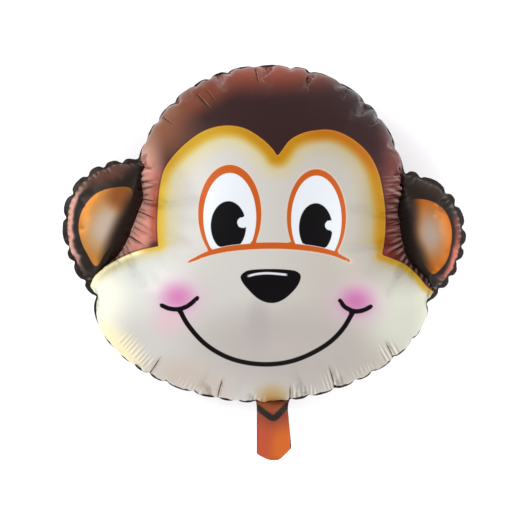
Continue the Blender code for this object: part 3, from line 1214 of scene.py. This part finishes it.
    def mask_tone_with_painted_light(self, sheet: Array, depth: Array) -> Array:
        """Spray the mask cream, with painted shade and highlights, and a golden
        glow inside its upper edge.

        Args:
            sheet: The points' places on the sheet.
            depth: How deep they lie inside the mask's edge.

        Returns:
            The 8-bit screen colours.
        """
        x, y = sheet[:, :1], sheet[:, 1:]
        right = smooth_step(x, *self.right_turn)
        cream, pale_glow = (np.array(left) + right * (np.array(other) - left) for left, other in (
            (self.cream, self.right_cream), (self.pale_glow, self.right_pale_glow)))
        cream = self.sprayed(cream, self.cream_painted_light_and_blush_sprays, sheet)
        glow = self.sprayed(self.glow, self.glow_and_highlight_sprays, sheet)
        narrower = 1 + smooth_step(-y, *self.cheek_turn)
        depth = depth[:, None] * narrower + self.left_start * smooth_step(-x, *self.left_turn)
        pale = self.pale_strength * (1 - smooth_step(depth, *self.pale_fade))
        pale *= smooth_step(y, *self.pale_end)
        strong = (1 - smooth_step(depth, *self.glow_fade)) * smooth_step(y, *self.glow_end)
        mask = cream + pale * (pale_glow - cream)
        return mask + strong * (glow - mask)


@dataclass(frozen=True)
class Pleats:
    """The creases and gathers that are too sharp for the simulation's mesh."""

    crease_width: float = 3.4
    crease_depth: float = 4.0
    crease_reach: float = 40.0
    line_end: tuple[float, float] = (0.5, 1.0)
    line_edge: tuple[float, float] = (3.0, 4.4)
    pitch: float = 9.0
    reach: float = 17.0
    depth: float = 0.6
    fold_pitch: float = 8.4
    fold_reach: float = 56.0
    fold_depth: float = 1.3
    comb_pitch: float = 6.2
    comb_depth: float = 0.25
    comb_margin: float = 8.0
    varied_over: tuple[float, ...] = (107, 258, 182, 333)

    def creases(self, sheet: Array, creases: Sequence[Crease]) -> tuple[Array, dict[str, Array]]:
        """Lay the sharp creases into the film.

        Args:
            sheet: The points' places.
            creases: The creases.

        Returns:
            How deep the points lie as a share, and for the shader, which paints
            shade along each crease and a highlight beside it, the side and the
            strength of the nearest crease, by name.
        """
        depths, side, strength = (np.full(len(sheet), start) for start in (0.0, 9.0, 0.0))
        for crease in creases:
            line = np.array([[crease.x, crease.y], [crease.end_x, crease.end_y]], float)
            near = np.nonzero(np.abs(sheet - line.mean(axis=0)).max(axis=1) < self.crease_reach)[0]
            distance, along = line_distance(sheet[near], line)
            width = self.crease_width * crease.width * (1 - 0.6 * along)
            share = crease.depth * np.clip(1 - distance / width, 0, 1) * (1 - along ** 2)
            depths[near] = np.maximum(depths[near], share)
            way = (line[1] - line[0]) / np.hypot(*(line[1] - line[0]))
            across = (sheet[near] - line[0]) @ np.array([-way[1], way[0]])
            fade = crease.depth * (1 - smooth_step(along, *self.line_end))
            fade *= 1 - smooth_step(distance, *self.line_edge)
            stronger = fade > strength[near]
            side[near[stronger]], strength[near[stronger]] = across[stronger], fade[stronger]
        return depths, {"crease_side": side, "crease": strength}

    def gather(self, gap: Array, place: Array, length: float, fold: bool) -> tuple[Array, Array]:
        """Describe the gathers along one weld.

        Args:
            gap: How far the points lie from the weld, in millimetres.
            place: How far along it they lie, as a share.
            length: The weld's length in millimetres.
            fold: Whether it is an ear's fold.

        Returns:
            The wave's angle, which turns once a gather, and its strength.
        """
        turn = 2 * np.pi * place
        pitch, reach = (self.fold_pitch, self.fold_reach) if fold else (self.pitch, self.reach)
        waves = [round(length / part) for part in (pitch, *self.varied_over)]
        wave = waves[0] * turn + 1.7 * np.sin(waves[1] * turn) + np.sin(waves[2] * turn + 1)
        uneven = 0.65 + 0.35 * np.sin(waves[3] * turn + 1.3 * np.sin(waves[4] * turn))
        reached = reach * (0.75 + 0.25 * np.sin(0.37 * wave))
        fade = uneven * (1 - smooth_step(gap / reached, 0.3, 1.0)) * smooth_step(gap, 0.0, 2.5)
        ends = smooth_step(np.minimum(place, 1 - place) * length, 2, 8)
        return wave, fade * ends

    def combed(self, sheet: Array, combs: Sequence[Comb]) -> tuple[Array, Array]:
        """Describe the rows of fine pleats, as gather does for a weld.

        Args:
            sheet: The points' places on the sheet.
            combs: The rows.

        Returns:
            The wave's angle, which turns once a pleat, and its strength.
        """
        wave, fade = np.zeros(len(sheet)), np.zeros(len(sheet))
        for comb in combs:
            across, along = comb.places(sheet)
            near = np.abs(across) < comb.half_width + self.comb_margin
            near &= np.abs(along) < comb.length + self.comb_margin
            lengths = comb.length * (0.82 + 0.18 * np.sin(0.5 * across + comb.x))
            ends = smooth_step(along, -3, 3) * (1 - smooth_step(along / lengths, 0.35, 1.0))
            sides = 1 - smooth_step(np.abs(across), comb.half_width - 4, comb.half_width)
            uneven = 0.8 * np.sin(0.21 * across + comb.y)
            wave[near] = (2 * np.pi * across / self.comb_pitch + uneven)[near]
            fade[near] = (comb.strength * ends * sides)[near]
        return wave, fade

    def gathers(self, cut: Array, sheet: Array, film: FlatFilm,
                combs: Sequence[Comb]) -> tuple[Array, dict[str, Array]]:
        """Measure the fine gathers along all welds.

        Args:
            cut: The points' places on the flat pattern.
            sheet: The points' places on the sheet.
            film: The pattern.
            combs: The rows of fine pleats on this film.

        Returns:
            How far out the film stands in millimetres, and the wave and
            strength of the gathers for the shader, by name.
        """
        gap, place = film.line_gap(cut, film.points[film.loops[1]], True)
        count = len(film.loops[1])
        place = place % count / count
        found = {"weld": self.gather(gap / MM, place, count * film.fine / MM, False)}
        wave, fade = np.zeros(len(cut)), np.zeros(len(cut))
        for run in film.runs:
            gap, place = film.line_gap(cut, film.points[run], False)
            near = gap < self.fold_reach * MM
            one = self.gather(gap / MM, place / (len(run) - 1), len(run) * film.fine / MM, True)
            wave, fade = np.where(near, one[0], wave), np.where(near, one[1], fade)
        found["fold"] = wave, fade * (1 - smooth_step(film.ear_depth(cut) / MM, 5, 24))
        found["comb"] = self.combed(sheet, combs)
        depths = {"weld": self.depth, "fold": self.fold_depth, "comb": self.comb_depth}
        height, rows = np.zeros(len(cut)), {}
        for name, (wave, fade) in found.items():
            height += depths[name] * fade * (2 * np.abs(np.sin(wave / 2)) - 1)
            rows |= {f"{name}_wave": wave, f"{name}_fade": fade}
        return height, rows


@dataclass(frozen=True)
class Ink:
    """One colour with a crisp edge, or a line between two depths.

    It serves the printed inks and the painted shade and highlight along the creases.
    """

    name: str
    colour: Colour
    start: float = 0.0
    end: float | None = None
    soft: float = 0.6
    strength: float = 1.0


@dataclass(frozen=True)
class Gather:
    """How the gathers along one kind of weld catch the light."""

    weld: str
    light: Colour
    dark: Colour
    ridge: float
    valley: float


@dataclass
class FoilMaterial:
    """Metallised film, printed with inks, as a shader."""

    name: str
    roughness: float
    material: bpy.types.Material = field(init=False)
    nodes: bpy.types.Nodes = field(init=False)
    links: bpy.types.NodeLinks = field(init=False)
    shader: bpy.types.Node = field(init=False)

    def __post_init__(self) -> None:
        """Start the material."""
        self.material = bpy.data.materials.new(self.name)
        self.material.use_nodes = True
        self.nodes = self.material.node_tree.nodes
        self.links = self.material.node_tree.links
        self.shader = self.nodes["Principled BSDF"]
        self.shader.inputs["Roughness"].default_value = self.roughness

    def depth(self, name: str, low: float, high: float) -> Socket:
        """Turn a depth attribute to a share from 0 to 1.

        Args:
            name: The attribute.
            low: The depth where the share is 0.
            high: The depth where it is 1.

        Returns:
            The share's socket.
        """
        share = self.nodes.new("ShaderNodeMapRange")
        share.interpolation_type = "SMOOTHSTEP"
        share.inputs["From Min"].default_value = low
        share.inputs["From Max"].default_value = high
        self.links.new(self.number(name), share.inputs["Value"])
        return share.outputs["Result"]

    def scaled(self, share: Socket, factor: float) -> Socket:
        """Weaken a share by a factor."""
        return self.calculate("MULTIPLY", share, factor)

    def colours(self, name: str) -> Socket:
        """Read a colour attribute."""
        source = self.nodes.new("ShaderNodeAttribute")
        source.attribute_name = name
        return source.outputs["Color"]

    def over(self, below: Socket | Colour, above: Socket | Colour, share: Socket) -> Socket:
        """Lay one colour over another.

        Args:
            below: The colour below.
            above: The colour on top.
            share: How much the top one covers.

        Returns:
            The mixed colour's socket.
        """
        mix = self.nodes.new("ShaderNodeMix")
        mix.data_type = "RGBA"
        self.links.new(share, mix.inputs["Factor"])
        for key, colour in (("A", below), ("B", above)):
            socket = next(s for s in mix.inputs if s.name == key and s.type == "RGBA")
            if isinstance(colour, tuple):
                socket.default_value = (*colour, 1)
            else:
                self.links.new(colour, socket)
        return next(s for s in mix.outputs if s.type == "RGBA")

    def blend(self, below: float | Socket, above: float, share: Socket) -> Socket:
        """Move a number towards another by a share.

        Args:
            below: The number to start from.
            above: The number it moves towards.
            share: How far it moves.

        Returns:
            The mixed number's socket.
        """
        mix = self.nodes.new("ShaderNodeMix")
        mix.data_type = "FLOAT"
        self.links.new(share, mix.inputs["Factor"])
        low, high = (
            next(s for s in mix.inputs if s.name == key and s.type == "VALUE") for key in "AB")
        high.default_value = above
        if isinstance(below, float):
            low.default_value = below
        else:
            self.links.new(below, low)
        return next(s for s in mix.outputs if s.type == "VALUE")

    def ink_share(self, ink: Ink) -> Socket:
        """Find how much of the film an ink covers."""
        share = self.depth(ink.name, ink.start - ink.soft, ink.start + ink.soft)
        if ink.end is not None:
            rest = self.depth(ink.name, ink.end + ink.soft, ink.end - ink.soft)
            share = self.calculate("MULTIPLY", share, rest)
        return share if ink.strength == 1 else self.scaled(share, ink.strength)

    def print_ink(self, below: Socket, ink: Ink, within: Socket | None = None) -> Socket:
        """Lay one ink over what is printed already.

        Args:
            below: What is printed already.
            ink: The ink.
            within: A share that holds the ink back, if there is one.

        Returns:
            The mixed colour's socket.
        """
        share = self.ink_share(ink)
        if within is not None:
            share = self.calculate("MULTIPLY", share, within)
        return self.over(below, ink.colour, share)

    def calculate(self, operation: str, *values: float | Socket) -> Socket:
        """Add one step of arithmetic."""
        step = self.nodes.new("ShaderNodeMath")
        step.operation = operation
        for socket, value in zip(step.inputs, values):
            if isinstance(value, float):
                socket.default_value = value
            else:
                self.links.new(value, socket)
        return step.outputs[0]

    def number(self, name: str) -> Socket:
        """Read a number attribute."""
        source = self.nodes.new("ShaderNodeAttribute")
        source.attribute_name = name
        return source.outputs["Fac"]

    def gathered(self, colour: Socket, tint: Gather) -> Socket:
        """Paint highlights on the ridges of a weld's gathers and shade in their valleys.

        Args:
            colour: The film's colour.
            tint: Which gathers, and their painted highlight and shade colours.

        Returns:
            The tinted colour.
        """
        fade = self.number(f"{tint.weld}_fade")
        half = self.calculate("MULTIPLY", self.number(f"{tint.weld}_wave"), 0.5)
        puff = self.calculate("ABSOLUTE", self.calculate("SINE", half))
        valley = self.calculate("POWER", self.calculate("SUBTRACT", 1.0, puff), 1.5)
        ridge = self.calculate("POWER", puff, 5.0)
        for shape, tone, strength in (
            (valley, tint.dark, tint.valley),
            (ridge, tint.light, tint.ridge),
        ):
            share = self.scaled(self.calculate("MULTIPLY", shape, fade), strength)
            colour = self.over(colour, tone, share)
        return colour

    def crinkle(self, scale: float, strength: float) -> None:
        """Give the film its finest crinkles, too small for the mesh."""
        place = self.nodes.new("ShaderNodeTexCoord")
        noise = self.nodes.new("ShaderNodeTexNoise")
        noise.inputs["Scale"].default_value = scale
        noise.inputs["Detail"].default_value = 3.0
        bump = self.nodes.new("ShaderNodeBump")
        bump.inputs["Strength"].default_value = strength
        bump.inputs["Distance"].default_value = 1 * MM
        self.links.new(place.outputs["Object"], noise.inputs["Vector"])
        self.links.new(noise.outputs["Fac"], bump.inputs["Height"])
        self.links.new(bump.outputs["Normal"], self.shader.inputs["Normal"])


@dataclass
class FoilBalloon:
    """The balloon: a printed front film and a plain back film."""

    film: FlatFilm = field(default_factory=FlatFilm)
    inflation: Inflation = Inflation()
    fitting: Fitting = Fitting()
    pleats: Pleats = Pleats()
    face: FacePrint = FacePrint()
    thickness: float = 0.25 * MM
    pinching: float = 0.75
    quick_mesh: tuple[float, float] = (7 * MM, 10 * MM)
    back_tone: tuple[int, int, int] = (92, 50, 40)
    back_light: tuple[int, int, int] = (120, 66, 50)

    def face_material(self) -> bpy.types.Material:
        """Make the printed front: brown fur, pale mask and the drawn face.

        Its gathers and creases get painted highlights and shade.
        """
        foil = FoilMaterial("printed face foil", 0.34)
        nose_half = self.face.nose_light.width / 2
        rim = ink_colour(*self.face.rim)
        masked = foil.depth("mask", -0.7, 0.7)
        # Each Gather paints a highlight on the ridges of its gathers and shade in their valleys.
        fold = Gather("fold", ink_colour(255, 214, 204), ink_colour(74, 26, 28), 0.75, 0.9)
        weld = Gather("weld", ink_colour(255, 236, 220), ink_colour(48, 36, 30), 0.22, 0.4)
        fur_comb = Gather("comb", ink_colour(236, 176, 164), ink_colour(58, 20, 22), 0.6, 0.6)
        mask_comb = Gather("comb", ink_colour(290, 282, 262), ink_colour(112, 98, 80), 0.45, 0.55)
        colour = foil.gathered(foil.colours("fur_tone_with_painted_light"), fold)
        colour = foil.print_ink(colour, Ink("mask", ink_colour(84, 38, 10), -2.2, 0.2, 0.8, 0.6))
        colour = foil.gathered(colour, fur_comb)
        colour = foil.over(colour, foil.gathered(foil.colours("mask_tone_with_painted_light"), mask_comb), masked)
        colour = foil.print_ink(colour, Ink("mask", ink_colour(236, 176, 96), 0.0, 1.3, 0.5, 0.3))
        colour = foil.over(colour, foil.colours("ear_tone_with_highlights"), foil.depth("ear", -0.8, 0.4))
        colour = foil.over(colour, foil.colours("patch_tone_with_highlights"), foil.depth("ear_patch", -0.7, 0.7))
        for ink in (
            Ink("eye_ring", ink_colour(240, 214, 190), -2.2, 0.5, 0.8, 0.4),
            Ink("eye_ring", ink_colour(206, 94, 22)),
            Ink("eye_white", ink_colour(238, 242, 248)),
        ):
            colour = foil.print_ink(colour, ink)
        dark = [Ink("pupil", ink_colour(16, 14, 16)), Ink("black", ink_colour(14, 10, 13))]
        for ink in dark:
            colour = foil.print_ink(colour, ink)
        nose_light = Ink("nose_side", ink_colour(228, 228, 234), -nose_half, nose_half, 0.7)
        colour = foil.print_ink(colour, nose_light, foil.depth("nose_ends", -1.0, 4.0))
        colour = foil.gathered(colour, weld)
        # Painted shade along the middle of each crease, and a painted highlight beside it.
        for line in (
            Ink("crease_side", ink_colour(44, 32, 24), -0.9, 0.9, 0.8, 0.95),
            Ink("crease_side", ink_colour(240, 196, 160), 1.5, 2.6, 0.6, 0.25),
        ):
            colour = foil.print_ink(colour, line, foil.number("crease"))
        colour = foil.over(colour, rim, foil.depth("rim", -0.9, 0.3))
        colour = foil.over(colour, foil.colours("neck_tone"), foil.depth("neck", -0.7, 0.7))
        # The dark rim edge at the neck, with the fold's painted shade.
        colour = foil.print_ink(colour, Ink("chevron", ink_colour(48, 41, 35), 0.0, None, 1.4))
        foil.links.new(colour, foil.shader.inputs["Base Color"])
        metal, shine = foil.blend(0.36, 0.12, masked), 0.12
        for ink in dark:
            share = foil.ink_share(ink)
            metal, shine = foil.blend(metal, 0.0, share), foil.blend(shine, 0.04, share)
        foil.links.new(metal, foil.shader.inputs["Metallic"])
        foil.links.new(foil.blend(0.32, 0.42, masked), foil.shader.inputs["Roughness"])
        foil.links.new(shine, foil.shader.inputs["Specular IOR Level"])
        foil.crinkle(90.0, 0.1)
        return foil.material

    def back_material(self) -> bpy.types.Material:
        """Make the brown back, darker towards its rim.

        Its gathers get painted highlights and shade.
        """
        foil = FoilMaterial("plain back foil", 0.3)
        middle, edge = ink_colour(*self.back_light), ink_colour(*self.back_tone)
        colour = foil.over(middle, edge, foil.depth("rim", -45, -4))
        colour = foil.over(colour, ink_colour(*self.face.rim), foil.depth("rim", -0.9, 0.3))
        # Painted highlights on the gathers' ridges and painted shade in their valleys.
        for weld in ("weld", "fold"):
            tint = Gather(weld, ink_colour(190, 130, 110), ink_colour(30, 18, 16), 0.4, 0.6)
            colour = foil.gathered(colour, tint)
        foil.links.new(colour, foil.shader.inputs["Base Color"])
        foil.shader.inputs["Metallic"].default_value = 0.6
        foil.crinkle(90.0, 0.1)
        return foil.material

    def vertex_rows(self, mesh: bpy.types.Mesh) -> tuple[Array, Array]:
        """Read a mesh's vertices and their places on the flat pattern."""
        places = np.empty(len(mesh.vertices) * 3)
        mesh.vertices.foreach_get("co", places)
        cut = np.empty(len(mesh.vertices) * 3, np.float32)
        mesh.attributes["cut"].data.foreach_get("vector", cut)
        return places.reshape(-1, 3), cut.reshape(-1, 3)[:, :2].astype(float)

    def film_piece(self, name: str, side: Side, places: Array, studio: Studio) -> bpy.types.Object:
        """Make one film a closed thin sheet, with its creases and gathers.

        Args:
            name: The piece's name.
            side: Which film it is.
            places: The places of the pattern's points on it.
            studio: Where the camera stands, which the creases are drawn for.

        Returns:
            The film.
        """
        faces = self.film.triangles if side is Side.FRONT else self.film.triangles[:, ::-1]
        mesh = bpy.data.meshes.new(name)
        mesh.from_pydata(places.tolist(), [], faces.tolist())
        mesh.update()
        flat = np.c_[self.film.points, np.zeros(len(self.film.points))]
        row = mesh.attributes.new("cut", "FLOAT_VECTOR", "POINT")
        row.data.foreach_set("vector", flat.ravel().astype(np.float32))
        piece = bpy.data.objects.new(name, mesh)
        bpy.context.scene.collection.objects.link(piece)
        bpy.ops.object.select_all(action="DESELECT")
        piece.select_set(True)
        bpy.context.view_layer.objects.active = piece
        smooth = piece.modifiers.new("smooth film", "SUBSURF")
        smooth.levels = smooth.render_levels = 1
        bpy.ops.object.modifier_apply(modifier=smooth.name)
        mesh = piece.data
        fine, cut = self.vertex_rows(mesh)
        normals = np.empty(len(fine) * 3)
        mesh.vertex_normals.foreach_get("vector", normals)
        sheet = studio.sheet(fine) if side is Side.FRONT else fine[:, :2] / MM
        creased, lines = self.pleats.creases(sheet, self.face.creases)
        combs = self.face.combs if side is Side.FRONT else ()
        height, rows = self.pleats.gathers(cut, sheet, self.film, combs)
        height -= self.pleats.crease_depth * creased
        inside = self.film.outline.bag(cut[:, 0], cut[:, 1], -self.film.rim) < 1
        fine += normals.reshape(-1, 3) * (height * inside * MM)[:, None]
        fine[:, 2] = np.maximum(fine[:, 2], self.fitting.floor_gap)
        mesh.vertices.foreach_set("co", fine.ravel())
        write_numbers(mesh, lines | rows)
        wall = piece.modifiers.new("film thickness", "SOLIDIFY")
        wall.thickness = self.thickness
        wall.offset = 1.0
        bpy.ops.object.modifier_apply(modifier=wall.name)
        bpy.ops.object.shade_smooth()
        log.info("%s: %d triangles", name, sum(len(p.vertices) - 2 for p in piece.data.polygons))
        return piece

    def lay_out_print(self, piece: bpy.types.Object, side: Side, studio: Studio) -> None:
        """Write the print's depths and soft colours at the film's points.

        The print is drawn on the weld's plane as the camera sees it, and
        thrown from there onto the blown-up film.

        Args:
            piece: The film.
            side: Which film it is.
            studio: Where the camera stands.
        """
        mesh = piece.data
        places, cut = self.vertex_rows(mesh)
        sheet = studio.sheet(places)
        depths = self.face.layers(sheet, cut, self.film)
        tones = {}
        if side is Side.FRONT:
            tones = self.face.tones(sheet, depths)
        else:
            depths = {"rim": depths["rim"]}
        write_numbers(mesh, depths)
        for name, tone in tones.items():
            layer = mesh.attributes.new(name, "FLOAT_COLOR", "POINT")
            solid = np.c_[linear(tone), np.ones(len(tone))]
            layer.data.foreach_set("color", solid.ravel().astype(np.float32))
        mesh.attributes.remove(mesh.attributes["cut"])

    def build(self, studio: Studio) -> None:
        """Make both films and put them in the frame.

        Args:
            studio: Where the camera stands, which the print is laid out for.
        """
        self.film.cut()
        sharp = [crease for crease in self.face.creases if crease.depth > self.pinching]
        marks = np.array([(crease.x, crease.y) for crease in sharp]) * MM
        front, back = self.fitting.fit(self.film, *self.inflation.blow_up(self.film), marks)
        for name, side, places, material, node, slot in (
            ("front_film", Side.FRONT, front, self.face_material(), "front_panel", "face_foil"),
            ("back_film", Side.BACK, back, self.back_material(), "back_panel", "back_foil"),
        ):
            piece = self.film_piece(name, side, places, studio)
            self.lay_out_print(piece, side, studio)
            piece.data.materials.clear()
            piece.data.materials.append(material)
            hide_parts(node)
            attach(piece, "root")
            log.info("%s replaces %s", piece.name, node)


def main() -> None:
    """Build the balloon in its studio."""
    logging.basicConfig(level=logging.INFO, format="%(name)s: %(message)s")
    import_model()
    studio = Studio()
    studio.floor()
    studio.light()
    studio.camera()
    FoilBalloon().build(studio)


if __name__ == "__main__":
    main()
